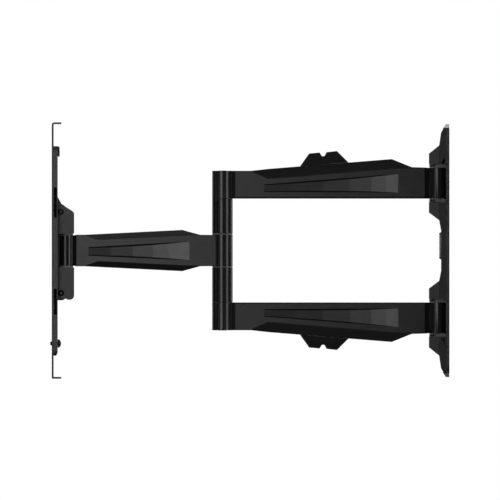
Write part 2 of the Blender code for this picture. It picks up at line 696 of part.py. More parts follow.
def build_forearm(pivot):
    finish_object("forearm", forearm(), BLACK_CASTING, pivot)
    add_pair("elbow_washer", elbow_washer, NYLON, pivot)
    elbow_bush = bush(SHAFT_RADIUS, ELBOW_DEPTH, -ELBOW_EYE_HALF_HEIGHT, ELBOW_EYE_HALF_HEIGHT)
    finish_object("elbow_bush", elbow_bush, NYLON, pivot)
    head_bush = bush(HEAD_PIN_RADIUS, HEAD_DEPTH, -HEAD_EYE_HALF_HEIGHT, HEAD_EYE_HALF_HEIGHT)
    finish_object("head_bush", head_bush, NYLON, pivot)


# ---- The swivel head ----

def head_side_outlines():
    """The two halves of a side plate as (depth, height) outlines, open between them for the forearm."""
    rear, inset, web = HEAD_DEPTH - HEAD_REAR, CARRIER_REAR - TOUCH, CARRIER_REAR + SIDE_PLATE_THICKNESS
    upper = [(web, YOKE_LOW, 0), (rear, YOKE_LOW, 0), (rear, 65.2, 7), (HEAD_DEPTH + 7.0, 78.6, 9),
             (inset, 91.3, 0), (inset, 50.0, 0), (web, 50.0, 0)]
    lower = [(web, -60.0, 0), (inset, -60.0, 0), (inset, -82.4, 0), (HEAD_DEPTH + 0.4, -82.4, 0),
             (HEAD_DEPTH - 0.7, -81.3, 0), (HEAD_DEPTH - 2.2, -83.7, 0), (rear, -83.7, 7),
             (rear, -YOKE_LOW, 0), (web, -YOKE_LOW, 0)]
    return rounded(upper), rounded(lower)


def swivel_bracket():
    """Folded bracket: a front web, two yoke plates over and under the forearm eye, and side plates."""
    outer = SIDE_PLATE_OUTER
    inner = outer - SIDE_PLATE_THICKNESS
    web_front, web_back = CARRIER_REAR + SIDE_PLATE_THICKNESS, CARRIER_REAR + GAP
    base = box(-outer, outer, web_back, web_front, -60, 50)
    additions = []
    for outline in head_side_outlines():
        for low, high in ((-outer, -inner), (inner, outer)):
            additions.append(side_prism(outline, low, high))
    rear = HEAD_DEPTH - HEAD_REAR
    for low in (YOKE_LOW, -YOKE_LOW - YOKE_THICKNESS):
        additions.append(box(-outer, outer, rear, web_front, low, low + YOKE_THICKNESS))
    # A saddle on the web fills the space in front of the forearm's eye.
    saddle = (HEAD_DEPTH + 11, web_front, -YOKE_LOW, YOKE_LOW)
    additions.append(box(-SADDLE_HALF_WIDTH, SADDLE_HALF_WIDTH, *saddle))
    bracket = join(base, additions)
    cutters = [post(HEAD_PIN_RADIUS + GAP, HEAD_DEPTH, -40, 40, HIDDEN_SIDES),
               post(HEAD_KNUCKLE_RADIUS + GAP, HEAD_DEPTH, -YOKE_LOW, YOKE_LOW)]
    for offset, height in (LOCK_BOLT, PIVOT_BOLT):
        hole = circle(TILT_BOLT_RADIUS + GAP, HIDDEN_SIDES, (HEAD_DEPTH + offset, height))
        cutters.append(side_prism(hole, -40, 40))
    return cut(bracket, cutters)


def swivel_washer():
    low = HEAD_EYE_HALF_HEIGHT + TOUCH
    return tube(HEAD_PIN_RADIUS + GAP, HEAD_KNUCKLE_RADIUS - 0.6, HEAD_DEPTH, low, YOKE_LOW - TOUCH)


def swivel_pin():
    seat = YOKE_LOW + YOKE_THICKNESS + TOUCH
    profile = [(0, -seat - 6.5), (HEAD_PIN_RADIUS, -seat - 6.5), (HEAD_PIN_RADIUS, seat), (8.0, seat),
               (8.0, seat + 3.0), (6.8, seat + 4.0), (0, seat + 4.0)]
    return turned(profile, (0, 0, 1), (0, -HEAD_DEPTH, 0), HIDDEN_SIDES)


def nut(prism, centre, inner, outer, low, high):
    """A hexagonal ring; prism is the function that pushes its outline along its axis."""
    flats = prism(circle(outer, 6, centre, math.pi / 6), low, high)
    return cut(flats, [prism(circle(inner, HIDDEN_SIDES, centre), low - 1, high + 1)])


def swivel_nut():
    seat = YOKE_LOW + YOKE_THICKNESS + TOUCH
    return nut(plan_prism, (0, HEAD_DEPTH), HEAD_PIN_RADIUS + GAP, 8.5, -seat - 5.0, -seat)


def tilt_bolt(place):
    """A through bolt across the head with a socketed button head on its +X end."""
    offset, height = place
    seat = SIDE_PLATE_OUTER + TOUCH
    profile = [(0, -seat - 5.0), (TILT_BOLT_RADIUS, -seat - 5.0), (TILT_BOLT_RADIUS, seat),
               (TILT_HEAD_RADIUS, seat), (TILT_HEAD_RADIUS - 0.6, seat + 1.8),
               (TILT_HEAD_RADIUS - 2.2, seat + 3.0), (1.9, seat + 3.0), (1.9, seat + 1.2), (0, seat + 1.2)]
    return turned(profile, (1, 0, 0), (0, -HEAD_DEPTH - offset, height), HIDDEN_SIDES)


def tilt_nut(place):
    offset, height = place
    seat = SIDE_PLATE_OUTER + TOUCH
    centre = (HEAD_DEPTH + offset, height)
    return nut(side_prism, centre, TILT_BOLT_RADIUS + GAP, TILT_HEAD_RADIUS + 0.7, -seat - 4.0, -seat)


def build_head(pivot):
    finish_object("swivel_bracket", swivel_bracket(), BLACK_PAINT, pivot)
    add_pair("swivel_washer", swivel_washer, NYLON, pivot)
    finish_object("swivel_pin", swivel_pin(), DARK_STEEL, pivot)
    finish_object("swivel_nut", swivel_nut(), DARK_STEEL, pivot)
    for name, place in (("tilt_lock", LOCK_BOLT), ("tilt_pivot", PIVOT_BOLT)):
        finish_object(name + "_bolt", tilt_bolt(place), DARK_STEEL, pivot)
        finish_object(name + "_nut", tilt_nut(place), DARK_STEEL, pivot)


# ---- The tilting carrier ----

def carrier():
    """A shallow pan, open towards the television, whose ears hang on the head's bolts."""
    wide, sheet = CARRIER_HALF_WIDTH, CARRIER_SHEET
    corners = [(-wide, CARRIER_BOTTOM, 8), (wide, CARRIER_BOTTOM, 8),
               (wide, CARRIER_TOP, 4), (-wide, CARRIER_TOP, 4)]
    inside = [(-wide + sheet, CARRIER_BOTTOM + sheet, 6), (wide - sheet, CARRIER_BOTTOM + sheet, 6),
              (wide - sheet, CARRIER_TOP - sheet, 2), (-wide + sheet, CARRIER_TOP - sheet, 2)]
    pan = cut(face_prism(rounded(corners), CARRIER_REAR, CARRIER_FRONT),
              [face_prism(rounded(inside), CARRIER_REAR + sheet, CARRIER_FRONT + 5)])
    ears = []
    tip = HEAD_DEPTH + 2.6
    for low, high in ((54.0, 78.2), (-84.6, -61.6)):
        root = CARRIER_REAR + 1
        outline = rounded([(root, low, 0), (tip, low, 3), (tip, high, 3), (root, high, 0)], 3)
        for side in (-1, 1):
            edges = sorted((side * EAR_OUTER, side * (EAR_OUTER - EAR_THICKNESS)))
            ears.append(side_prism(outline, *edges))
    pockets = []
    for side in (-1, 1):
        for low, high in POCKET_LEVELS:
            edges = sorted((side * (wide - sheet + 0.5), side * (wide - 2 * sheet - POCKET_DEPTH)))
            pockets.append(box(*edges, CARRIER_REAR + 1, CARRIER_FRONT, low - sheet, high + sheet))
    pan = join(pan, ears + pockets)
    through = (CARRIER_REAR - 5, CARRIER_FRONT + 5)
    cutters = [box(-29.5, 29.5, *through, -61, 51)]
    for side in (-1, 1):
        # Below the pivot bolt the web swings towards the wall, so it is slotted around the side plates.
        edges = sorted((side * (EAR_OUTER + GAP), side * (SIDE_PLATE_OUTER + 1.5)))
        cutters.append(box(*edges, *through, -97, PIVOT_BOLT[1] + 1.5))
        window = [(side * 48, -100, 12), (side * 160, -100, 12), (side * 160, 118, 12), (side * 48, 118, 12)]
        cutters.append(face_prism(rounded(window), *through))
        slot_low, slot_high = KNOB_X - RAIL_TRAVEL - 6, KNOB_X + 6
        slot = slot_outline(side * (slot_low + slot_high) / 2, KNOB_Z, slot_high - slot_low, 9.0)
        cutters.append(face_prism(slot, *through))
        for low, high in POCKET_LEVELS:
            edges = sorted((side * (wide - sheet - POCKET_DEPTH), side * (wide + 5)))
            cutters.append(box(*edges, CARRIER_REAR + 1.4, CARRIER_FRONT + 5, low, high))
    bend = [(CARRIER_REAR - 1, CARRIER_BOTTOM + 7.1), (CARRIER_REAR - 1, CARRIER_BOTTOM - 1),
            (CARRIER_REAR + 2.9, CARRIER_BOTTOM - 1)]
    cutters.append(side_prism(bend, -wide - 1, wide + 1))
    hole = circle(TILT_BOLT_RADIUS + GAP, HIDDEN_SIDES, (HEAD_DEPTH + PIVOT_BOLT[0], PIVOT_BOLT[1]))
    cutters.append(side_prism(hole, -27, 27))
    # The upper bolt sits in a fork that is open towards the wall, so the carrier can swing off it.
    fork = TILT_BOLT_RADIUS + 0.7
    fork_end = HEAD_DEPTH + LOCK_BOLT[0] + fork
    fork_low, fork_high = LOCK_BOLT[1] - fork, LOCK_BOLT[1] + fork
    fork_outline = rounded([(fork_end, fork_low, fork - 0.1), (tip - 5, fork_low, 0),
                            (tip - 5, fork_high, 0), (fork_end, fork_high, fork - 0.1)], 3)
    cutters.append(side_prism(fork_outline, -27, 27))
    return cut(pan, cutters)


# ---- The television rails and their locking knobs ----

def tv_rail(side):
    """A flat rail with bent-back ends, a screw slot at each end and a hook over the carrier."""
    back, front, flange = RAIL_BACK, TV_FACE_DEPTH, TV_FACE_DEPTH - RAIL_FLANGE_LENGTH
    tall, sheet = MOUNT_HALF_HEIGHT, RAIL_SHEET
    bent = [(front, -tall, 1), (front, tall, 4), (flange, tall, 0), (flange, tall - sheet, 0),
            (back, tall - sheet, 1.0), (back, -tall + sheet, 0),
            (flange, -tall + sheet, 0), (flange, -tall, 0)]
    centre = side * RAIL_SPACING / 2
    strip = side_prism(rounded(bent, 3), centre - RAIL_HALF_WIDTH, centre + RAIL_HALF_WIDTH)
    tongue_back, tongue_front, tongue_low = CARRIER_REAR - 3.4, CARRIER_REAR - TOUCH, 159.6
    hook_low, hook_high = CARRIER_TOP + TOUCH, CARRIER_TOP + 3.4
    hook = [(back + 0.5, hook_low, 0), (back + 0.5, hook_high, 0), (tongue_back, hook_high, 3),
            (tongue_back, tongue_low, 0), (tongue_front, tongue_low, 0), (tongue_front, hook_low, 0)]
    hook_inner = RAIL_SPACING / 2 - RAIL_HALF_WIDTH + 2
    hook_edges = sorted((side * hook_inner, side * (hook_inner + HOOK_WIDTH)))
    rail = join(strip, [side_prism(rounded(hook, 3), *hook_edges)])
    through = (back - 2, front + 5)
    cutters = []
    low, high = RAIL_SLOT_ENDS
    for way in (-1, 1):
        slot = slot_outline(centre, way * (low + high) / 2, RAIL_SLOT_WIDTH, high - low)
        cutters.append(face_prism(slot, *through))
    shank_hole = circle(KNOB_SHANK_RADIUS + 0.4, HIDDEN_SIDES, (side * KNOB_X, KNOB_Z))
    cutters.append(face_prism(shank_hole, *through))
    return cut(rail, cutters)


def lock_nut(side):
    """The knob's nut, in the space between the carrier's web and the rail."""
    low, high = CARRIER_REAR + CARRIER_SHEET + TOUCH, RAIL_BACK - TOUCH
    return nut(face_prism, (side * KNOB_X, KNOB_Z), KNOB_SHANK_RADIUS + GAP, 8.0, low, high)


def lock_knob(side):
    """A domed knob behind the carrier on a threaded shank that shows past the rail."""
    seat = CARRIER_REAR - TOUCH
    rim, dome_height, dome_steps = 1.2, 4.6, 5
    angles = [math.pi / 2 * step / dome_steps for step in range(dome_steps)]
    dome = [(KNOB_RADIUS * math.cos(a), seat - rim - dome_height * math.sin(a)) for a in angles]
    tip = TV_FACE_DEPTH + KNOB_TIP
    profile = [(0, seat - rim - dome_height), *reversed(dome), (KNOB_RADIUS, seat), (KNOB_SHANK_RADIUS, seat),
               (KNOB_SHANK_RADIUS, tip - 0.8), (KNOB_SHANK_RADIUS - 0.8, tip), (0, tip)]
    return turned(profile, (0, -1, 0), (side * KNOB_X, 0, KNOB_Z), HIDDEN_SIDES)


def build_carrier_and_rails(pivot):
    finish_object("carrier_pan", carrier(), BLACK_PAINT, pivot)
    for side, word in ((-1, "left"), (1, "right")):
        rail = make_pivot("rail_slide_" + word, pivot, CARRIER_FRONT, 0.0, side * RAIL_SPACING / 2)
        finish_object("tv_rail_" + word, tv_rail(side), BLACK_PAINT, rail)
        finish_object("lock_nut_" + word, lock_nut(side), STEEL, rail)
        knob_axis = make_pivot("knob_axis_" + word, rail, CARRIER_REAR, KNOB_Z, side * KNOB_X)
        finish_object("lock_knob_" + word, lock_knob(side), BLACK_PLASTIC, knob_axis)


def main():
    clear_scene()
    wall = make_pivot("wall_frame", None, 0.0)
    wall_axis = make_pivot("wall_axis", wall, WALL_AXIS_DEPTH)
    elbow_axis = make_pivot("elbow_axis", wall_axis, ELBOW_DEPTH)
    head_axis = make_pivot("head_axis", elbow_axis, HEAD_DEPTH)
    tilt_axis = make_pivot("tilt_axis", head_axis, HEAD_DEPTH + PIVOT_BOLT[0], PIVOT_BOLT[1])
    build_wall_side(wall)
    build_wall_arms(wall_axis)
    build_forearm(elbow_axis)
    build_head(head_axis)
    build_carrier_and_rails(tilt_axis)


main()
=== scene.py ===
"""Looks for the full motion television wall mount: materials, edge finish, small details, studio and camera.

Every position is in metres in the model's own frame: the wall is Y = 0, the television is towards -Y and +Z
is up. Azimuths around the mount are in degrees, counted from +X, the camera's side, towards the wall.
"""

import json
import math

import bpy
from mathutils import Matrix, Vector


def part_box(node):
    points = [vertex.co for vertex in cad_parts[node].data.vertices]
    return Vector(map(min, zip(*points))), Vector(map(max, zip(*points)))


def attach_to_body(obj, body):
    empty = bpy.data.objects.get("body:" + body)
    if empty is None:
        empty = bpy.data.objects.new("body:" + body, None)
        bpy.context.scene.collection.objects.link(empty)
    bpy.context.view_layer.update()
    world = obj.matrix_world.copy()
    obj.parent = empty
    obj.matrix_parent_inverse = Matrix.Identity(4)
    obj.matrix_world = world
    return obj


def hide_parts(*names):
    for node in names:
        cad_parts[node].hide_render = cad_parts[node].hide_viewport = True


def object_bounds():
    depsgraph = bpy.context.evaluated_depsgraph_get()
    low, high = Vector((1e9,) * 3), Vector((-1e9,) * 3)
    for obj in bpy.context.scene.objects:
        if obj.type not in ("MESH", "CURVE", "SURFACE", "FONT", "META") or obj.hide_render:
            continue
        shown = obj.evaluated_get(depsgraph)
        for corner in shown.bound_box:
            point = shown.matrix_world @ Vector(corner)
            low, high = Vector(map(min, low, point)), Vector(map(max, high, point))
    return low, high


WHITE = (1.0, 1.0, 1.0)

# Camera
VIEW_WIDTH = 0.85
CAMERA_DISTANCE = 3.0
CAMERA_SHIFT = 0.0003
CAMERA_HEIGHT = 0.0009

# Floor and world: their tone as the camera sees them, and in the mount's reflections
FLOOR_DROP = 0.30
FLOOR_REACH = 14.0
FLOOR_SEEN = (0.86, 0.86, 0.86)
FLOOR_REFLECTED = (0.12, 0.12, 0.12)
FLOOR_GLOW = 0.45
WORLD_REFLECTED = (0.02, 0.02, 0.02)

# Upright strips of light. Each is (azimuth, half its width as an angle seen from the mount, radiance)
STRIP_DISTANCE = 4.5
STRIP_HEIGHT = 4.0
STRIPS = {
    "front": (-15.0, 12.0, 2.7),
    "right": (54.0, 10.0, 2.5),
    "left": (-88.0, 7.0, 1.8),
    "far_right": (131.0, 12.0, 1.3),
    "far_left": (-146.0, 12.0, 1.0),
}

# A dim box above, and boxes behind that reflections don't show. Each of the latter is (azimuth, radiance)
TOP_BOX_HEIGHT = 3.2
TOP_BOX_SIZE = 4.0
TOP_BOX_RADIANCE = 0.36
FILL_SIZE = 5.0
FILL_RISE = 0.35
FILLS = {"back": (180.0, 1.5), "wall_side": (118.0, 1.2), "screen_side": (-118.0, 1.2)}

# Surfaces: scales of the noise, and grains. A grain is (scale, depth of its bumps)
PATCH_SCALE = 22.0
GLOSS_SCALE = 60.0
BUMP_STRENGTH = 0.6
PAINT_GRAIN = (2600.0, 0.000010)
CASTING_GRAIN = (1800.0, 0.000006)
STEEL_GRAIN = (2400.0, 0.000006)
ZINC_GRAIN = (2400.0, 0.000004)
LENS_GRAIN = (1200.0, 0.000004)
NYLON_GRAIN = (2400.0, 0.000008)

# Edges: widths of the rounding, and the angles in degrees from which a corner is rounded
EDGE = 0.0004
FINE_EDGE = 0.0002
WIDE_EDGE = 0.0010
CORNER = 28.0
CASTING_CORNER = 14.0
MERGE_DISTANCE = 0.00001
FLAT_ANGLE = 0.4
SHARP_ANGLE = 35.0

# Where the carrier's deep side pockets get painted shade: distances from its middle, and places along Y
POCKET_SHADE_ACROSS = (0.150, 0.2195)
POCKET_SHADE_DEPTHS = (-0.6720, -0.6664)

# Tilt bolts. A face is the radius at which the head's chamfer ends
BOLT_HEAD_RADIUS = 0.0051
BOLT_HEAD_HEIGHT = 0.0030
BOLT_RIM = 0.0006
BOLT_CHAMFER_TOP = 0.0024
BOLT_SHANK = 0.0030
BOLT_GRIP = 0.055
BOLT_TIP = 0.0024
BOLT_THREAD = {"pitch": 0.0008, "depth": 0.0003}
BOLT_THREAD_LENGTH = 0.005
LOCK_BOLT_FACE = 0.0037
PIVOT_BOLT_FACE = 0.0026

# Locking knobs
CARRIER_REAR = -0.6660
KNOB_RADIUS = 0.0071
KNOB_RIM = 0.0012
KNOB_DOME = 0.0046
KNOB_SHANK = 0.0037
KNOB_THREAD = {"pitch": 0.0010, "depth": 0.0004}
KNOB_GAP = 0.0001
KNOB_FLUTES = 18
KNOB_SIDES = 144
DOME_STEPS = 8

# Level vial, and its bands: height of each one's middle, and half its width
VIAL_AXIS = -0.0142
VIAL_RADIUS = 0.0031
VIAL_HALF_LENGTH = 0.023
VIAL_SIDES = 64
VIAL_BANDS = ((-0.0200, 0.0009), (-0.0042, 0.0004), (0.0042, 0.0004), (0.0200, 0.0009))
BAND_RISE = 0.0002

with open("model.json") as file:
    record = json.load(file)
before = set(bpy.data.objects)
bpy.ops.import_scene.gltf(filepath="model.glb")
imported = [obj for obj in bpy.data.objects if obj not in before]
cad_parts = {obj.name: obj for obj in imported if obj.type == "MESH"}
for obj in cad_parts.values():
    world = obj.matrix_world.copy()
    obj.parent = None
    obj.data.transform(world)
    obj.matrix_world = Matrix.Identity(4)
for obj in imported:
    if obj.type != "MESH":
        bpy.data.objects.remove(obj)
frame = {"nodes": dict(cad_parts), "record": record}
cad_low, cad_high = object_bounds()
middle = (cad_low + cad_high) / 2


# ---- Materials ----

def new_material(name):
    made = bpy.data.materials.new(name)
    made.use_nodes = True
    return made, made.node_tree, made.node_tree.nodes["Principled BSDF"]


def feed(tree, socket, value):
    """Links an output to a socket, or sets the socket to a plain number or colour."""
    if isinstance(value, bpy.types.NodeSocket):
        tree.links.new(value, socket)
    elif isinstance(value, tuple):
        socket.default_value = (*value, 1.0)
    else:
        socket.default_value = value


def calculate(tree, operation, *values):
    made = tree.nodes.new("ShaderNodeMath")
    made.operation = operation
    for socket, value in zip(made.inputs, values):
        feed(tree, socket, value)
    return made.outputs[0]


def noise(tree, scale, detail=4.0, roughness=0.55):
    """A noise texture in the piece's own metres."""
    place = tree.nodes.new("ShaderNodeTexCoord")
    made = tree.nodes.new("ShaderNodeTexNoise")
    feed(tree, made.inputs["Scale"], scale)
    feed(tree, made.inputs["Detail"], detail)
    feed(tree, made.inputs["Roughness"], roughness)
    feed(tree, made.inputs["Vector"], place.outputs["Object"])
    return made.outputs["Fac"]


def ramp(tree, factor, low, high, start=0.35, end=0.65):
    """Maps a factor between start and end to a pair of numbers."""
    made = tree.nodes.new("ShaderNodeMapRange")
    feed(tree, made.inputs["Value"], factor)
    feed(tree, made.inputs["From Min"], start)
    feed(tree, made.inputs["From Max"], end)
    feed(tree, made.inputs["To Min"], low)
    feed(tree, made.inputs["To Max"], high)
    return made.outputs["Result"]


def colour_mix(tree, factor, first, second):
    """The first colour where the factor is zero, the second where it is one."""
    made = tree.nodes.new("ShaderNodeMix")
    made.data_type = "RGBA"
    feed(tree, made.inputs[0], factor)
    feed(tree, made.inputs[6], first)
    feed(tree, made.inputs[7], second)
    return made.outputs[2]


def coating(name, colour, spread, roughness, grain, metallic=0.0, specular=0.5, painted_glow=0.0):
    """A coated or moulded surface: mottled colour, uneven gloss, a fine grain of bumps and, if asked, a
    painted glow.
    """
    made, tree, shader = new_material(name)
    scale, depth = grain
    patches = ramp(tree, noise(tree, PATCH_SCALE), 0.0, 1.0)
    lighter = tuple(value * (1 + spread) for value in colour)
    darker = tuple(value * (1 - spread) for value in colour)
    feed(tree, shader.inputs["Base Color"], colour_mix(tree, patches, darker, lighter))
    gloss = ramp(tree, noise(tree, GLOSS_SCALE), roughness - 0.015, roughness + 0.02)
    feed(tree, shader.inputs["Roughness"], gloss)
    bump = tree.nodes.new("ShaderNodeBump")
    feed(tree, bump.inputs["Strength"], BUMP_STRENGTH)
    feed(tree, bump.inputs["Distance"], depth)
    feed(tree, bump.inputs["Height"], noise(tree, scale, 3.0, 0.6))
    feed(tree, shader.inputs["Normal"], bump.outputs["Normal"])
    feed(tree, shader.inputs["Metallic"], metallic)
    feed(tree, shader.inputs["Specular IOR Level"], specular)
    feed(tree, shader.inputs["Emission Color"], colour)
    feed(tree, shader.inputs["Emission Strength"], painted_glow)
    return made


def powder_coat(name, tone, blue, roughness):
    """Black powder coat with its usual grain; red and green have the same tone."""
    return coating(name, (tone, tone, blue), 0.05, roughness, PAINT_GRAIN)


def between(tree, value, low, high):
    """One where the value lies between two limits, else zero."""
    above = calculate(tree, "GREATER_THAN", value, low)
    below = calculate(tree, "LESS_THAN", value, high)
    return calculate(tree, "MULTIPLY", above, below)


def pocket_painted_shade():
    """Black paint for the carrier, with painted shade in its deep side pockets: there it is darker and matt.
    """
    made = powder_coat("black_powder_coat_carrier_with_painted_shade", 0.034, 0.035, 0.36)
    tree = made.node_tree
    shader = tree.nodes["Principled BSDF"]
    place = tree.nodes.new("ShaderNodeTexCoord")
    axes = tree.nodes.new("ShaderNodeSeparateXYZ")
    feed(tree, axes.inputs[0], place.outputs["Object"])
    beside = between(tree, calculate(tree, "ABSOLUTE", axes.outputs["X"]), *POCKET_SHADE_ACROSS)
    within = between(tree, axes.outputs["Y"], *POCKET_SHADE_DEPTHS)
    deep = calculate(tree, "MULTIPLY", beside, within)
    paint = shader.inputs["Base Color"].links[0].from_socket
    # Painted shade: a near-black colour and a weak reflection inside the deep side pockets
    feed(tree, shader.inputs["Base Color"], colour_mix(tree, deep, paint, (0.004, 0.004, 0.004)))
    feed(tree, shader.inputs["Specular IOR Level"], ramp(tree, deep, 0.5, 0.06, 0.0, 1.0))
    return made


# The record's material slots
LOOKS = {
    "black_paint": powder_coat("black_powder_coat", 0.034, 0.035, 0.36),
    "black_casting": coating("black_coated_casting", (0.010, 0.010, 0.0108), 0.05, 0.25, CASTING_GRAIN),
    "black_plastic": coating("black_moulded_plastic", (0.014, 0.014, 0.0145), 0.05, 0.42, PAINT_GRAIN),
    "dark_steel": coating("blackened_steel", (0.006, 0.006, 0.0065), 0.12, 0.30, STEEL_GRAIN),
    "plain_steel": coating("zinc_plated_steel", (0.46, 0.46, 0.45), 0.06, 0.34, ZINC_GRAIN, metallic=1.0),
    # The pale trim is given painted light: a faint glow of its own, though it is no lamp.
    "pale_trim": coating("pale_blue_trim_painted_glow", (0.58, 0.78, 1.00), 0.03, 0.38, STEEL_GRAIN, painted_glow=0.18),
    "pale_lens": coating("pale_lens", (0.27, 0.28, 0.28), 0.05, 0.22, LENS_GRAIN),
    "pale_nylon": coating("pale_nylon", (0.30, 0.30, 0.29), 0.06, 0.50, NYLON_GRAIN),
}

# Looks of single pieces that differ from their slot's usual one
CLIP_LOOK = coating("black_clip_plastic", (0.006, 0.006, 0.006), 0.08, 0.55, PAINT_GRAIN, specular=0.2)
ARM_LOOK = coating("black_coated_arm", (0.018, 0.018, 0.019), 0.05, 0.25, CASTING_GRAIN)
RAIL_LOOK = powder_coat("black_powder_coat_rails", 0.015, 0.0155, 0.40)
BOLT_LOOK = coating("matt_black_steel", (0.003, 0.003, 0.003), 0.12, 0.60, STEEL_GRAIN, specular=0.1)
# A paler steel for the disc on each tilt bolt's face
BOLT_FACE_LOOK = coating("paler_dark_steel", (0.060, 0.060, 0.061), 0.08, 0.36, STEEL_GRAIN)
OWN_LOOKS = {
    "wall_plate": powder_coat("black_powder_coat_plate", 0.018, 0.0185, 0.42),
    # The lower end trim is the pale trim in a much darker colour: painted shade.
    "lower_end_trim": coating("painted_shade_blue_trim", (0.075, 0.092, 0.115), 0.05, 0.38, STEEL_GRAIN),
    "upper_cable_clip": CLIP_LOOK,
    "lower_cable_clip": CLIP_LOOK,
    "upper_arm": ARM_LOOK,
    "lower_arm": ARM_LOOK,
    "swivel_bracket": powder_coat("black_powder_coat_head", 0.060, 0.061, 0.36),
    "carrier_pan": pocket_painted_shade(),
    "tv_rail_left": RAIL_LOOK,
    "tv_rail_right": RAIL_LOOK,
}

# Rounding of the pieces that differ from the rest
OWN_EDGES = {
    "upper_cable_clip": FINE_EDGE,
    "lower_cable_clip": FINE_EDGE,
    "tv_rail_left": FINE_EDGE,
    "tv_rail_right": FINE_EDGE,
    "upper_spacer_sleeve": WIDE_EDGE,
    "lower_spacer_sleeve": WIDE_EDGE,
}


def finish_edges(piece, corner, width):
    """Rounds a piece's edges finely; the flat faces keep flat shading."""
    weld = piece.modifiers.new("weld", "WELD")
    weld.merge_threshold = MERGE_DISTANCE
    flat = piece.modifiers.new("flat", "DECIMATE")
    flat.decimate_type = "DISSOLVE"
    flat.angle_limit = math.radians(FLAT_ANGLE)
    edge = piece.modifiers.new("edge", "BEVEL")
    edge.width = width
    edge.segments = 2
    edge.limit_method = "ANGLE"
    edge.angle_limit = math.radians(corner)
    edge.use_clamp_overlap = True
    edge.harden_normals = True


def dress_nodes():
    """Every carried-over node gets its slot's material, or its own one, and a fine rounded edge."""
    slots = {part["node"]: part["material_slot"] for part in frame["record"]["subparts"]}
    for name, piece in frame["nodes"].items():
        piece.data.materials.clear()
        piece.data.materials.append(OWN_LOOKS.get(name, LOOKS[slots[name]]))
        if slots[name] == "black_casting":
            corner, width = CASTING_CORNER, FINE_EDGE
        else:
            corner, width = CORNER, EDGE
        finish_edges(piece, corner, OWN_EDGES.get(name, width))


# ---- Small pieces in more detail than the CAD ----

def lathe(name, rings, place, axis, steps=96):
    """A turned solid. Each ring is (distance along the axis, radius) and may end with a form.

    A form is a function of the angle around the axis that returns a factor for the radius.
    """
    turn = Vector((0, 0, 1)).rotation_difference(Vector(axis)).to_matrix()
    points, faces = [], []
    for along, radius, *form in rings:
        for step in range(steps):
            angle = 2 * math.pi * step / steps
            out = radius * (form[0](angle) if form else 1.0)
            point = Vector((out * math.cos(angle), out * math.sin(angle), along))
            points.append(tuple(turn @ point + Vector(place)))
    last = (len(rings) - 1) * steps
    for near in range(0, last, steps):
        far = near + steps
        for step in range(steps):
            following = (step + 1) % steps
            faces.append((near + step, near + following, far + following, far + step))
    faces.append(tuple(reversed(range(steps))))
    faces.append(tuple(range(last, last + steps)))
    mesh = bpy.data.meshes.new(name)
    mesh.from_pydata(points, [], faces)
    mesh.shade_smooth()
    mesh.set_sharp_from_angle(angle=math.radians(SHARP_ANGLE))
    made = bpy.data.objects.new(name, mesh)
    bpy.context.scene.collection.objects.link(made)
    return made


def attach(piece, slot_name, body, *nodes, look=None):
    """Gives a detail piece its material and body; it stands for the named CAD nodes, if any."""
    piece.data.materials.append(look or LOOKS[slot_name])
    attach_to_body(piece, body)
    if nodes:
        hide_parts(*nodes)


def hexagon(angle):
    return 1 / math.cos(angle % (math.pi / 3) - math.pi / 6)


def fluted(angle):
    return 1 - 0.05 * (0.5 + 0.5 * math.cos(KNOB_FLUTES * angle))


def threads(start, end, radius, pitch, depth):
    """Rings of a simple ridged thread between two distances along an axis."""
    count = int((end - start) / pitch)
    rings = []
    for turn in range(count):
        rings += [(start + turn * pitch, radius), (start + (turn + 0.5) * pitch, radius - depth)]
    return rings


def tilt_bolt(name, face):
    """A bolt across the head: a steeply chamfered head with a raised hexagonal face, and a threaded end."""
    low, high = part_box(name)
    seat = high.x - BOLT_HEAD_HEIGHT
    end = low.x - seat
    place = (seat, (low.y + high.y) / 2, (low.z + high.z) / 2)
    thread = threads(end + 0.0005, end + BOLT_THREAD_LENGTH, BOLT_SHANK, **BOLT_THREAD)
    rings = [(end, BOLT_TIP), *thread, (-BOLT_GRIP, BOLT_SHANK), (0.0, BOLT_SHANK),
             (0.0, BOLT_HEAD_RADIUS), (BOLT_RIM, BOLT_HEAD_RADIUS), (BOLT_CHAMFER_TOP, face),
             (BOLT_CHAMFER_TOP, face * 0.86, hexagon), (BOLT_HEAD_HEIGHT, face * 0.84, hexagon)]
    bolt = lathe(name + "_detail", rings, place, (1, 0, 0))
    attach(bolt, "dark_steel", "swivel_head", name, look=BOLT_LOOK)
    disc = [(0.0028, face * 0.80), (0.0032, face * 0.80), (0.0033, face * 0.76)]
    button = lathe(name + "_face", disc, place, (1, 0, 0))
    attach(button, "dark_steel", "swivel_head", look=BOLT_FACE_LOOK)


def lock_knob(word):
    """A domed knob with a fluted rim, on a threaded shank through carrier and rail."""
    name = "lock_knob_" + word
    low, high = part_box(name)
    place = ((low.x + high.x) / 2, CARRIER_REAR, (low.z + high.z) / 2)
    end = CARRIER_REAR - low.y
    rings = []
    for step in range(DOME_STEPS + 1):
        turn = math.pi / 2 * (1 - step / DOME_STEPS)
        ring = (-KNOB_RIM - KNOB_DOME * math.sin(turn), max(KNOB_RADIUS * math.cos(turn), 0.0002))
        rings.append((*ring, fluted) if step > DOME_STEPS / 2 else ring)
    rings += [(-0.0004, KNOB_RADIUS, fluted), (-KNOB_GAP, KNOB_RADIUS - 0.0003, fluted)]
    thread = threads(0.0004, end - 0.0006, KNOB_SHANK, **KNOB_THREAD)
    rings += [(-KNOB_GAP, KNOB_SHANK), *thread, (end, KNOB_SHANK - 0.0008)]
    knob = lathe(name + "_detail", rings, place, (0, -1, 0), KNOB_SIDES)
    attach(knob, "black_plastic", f"{word}_knob", name)


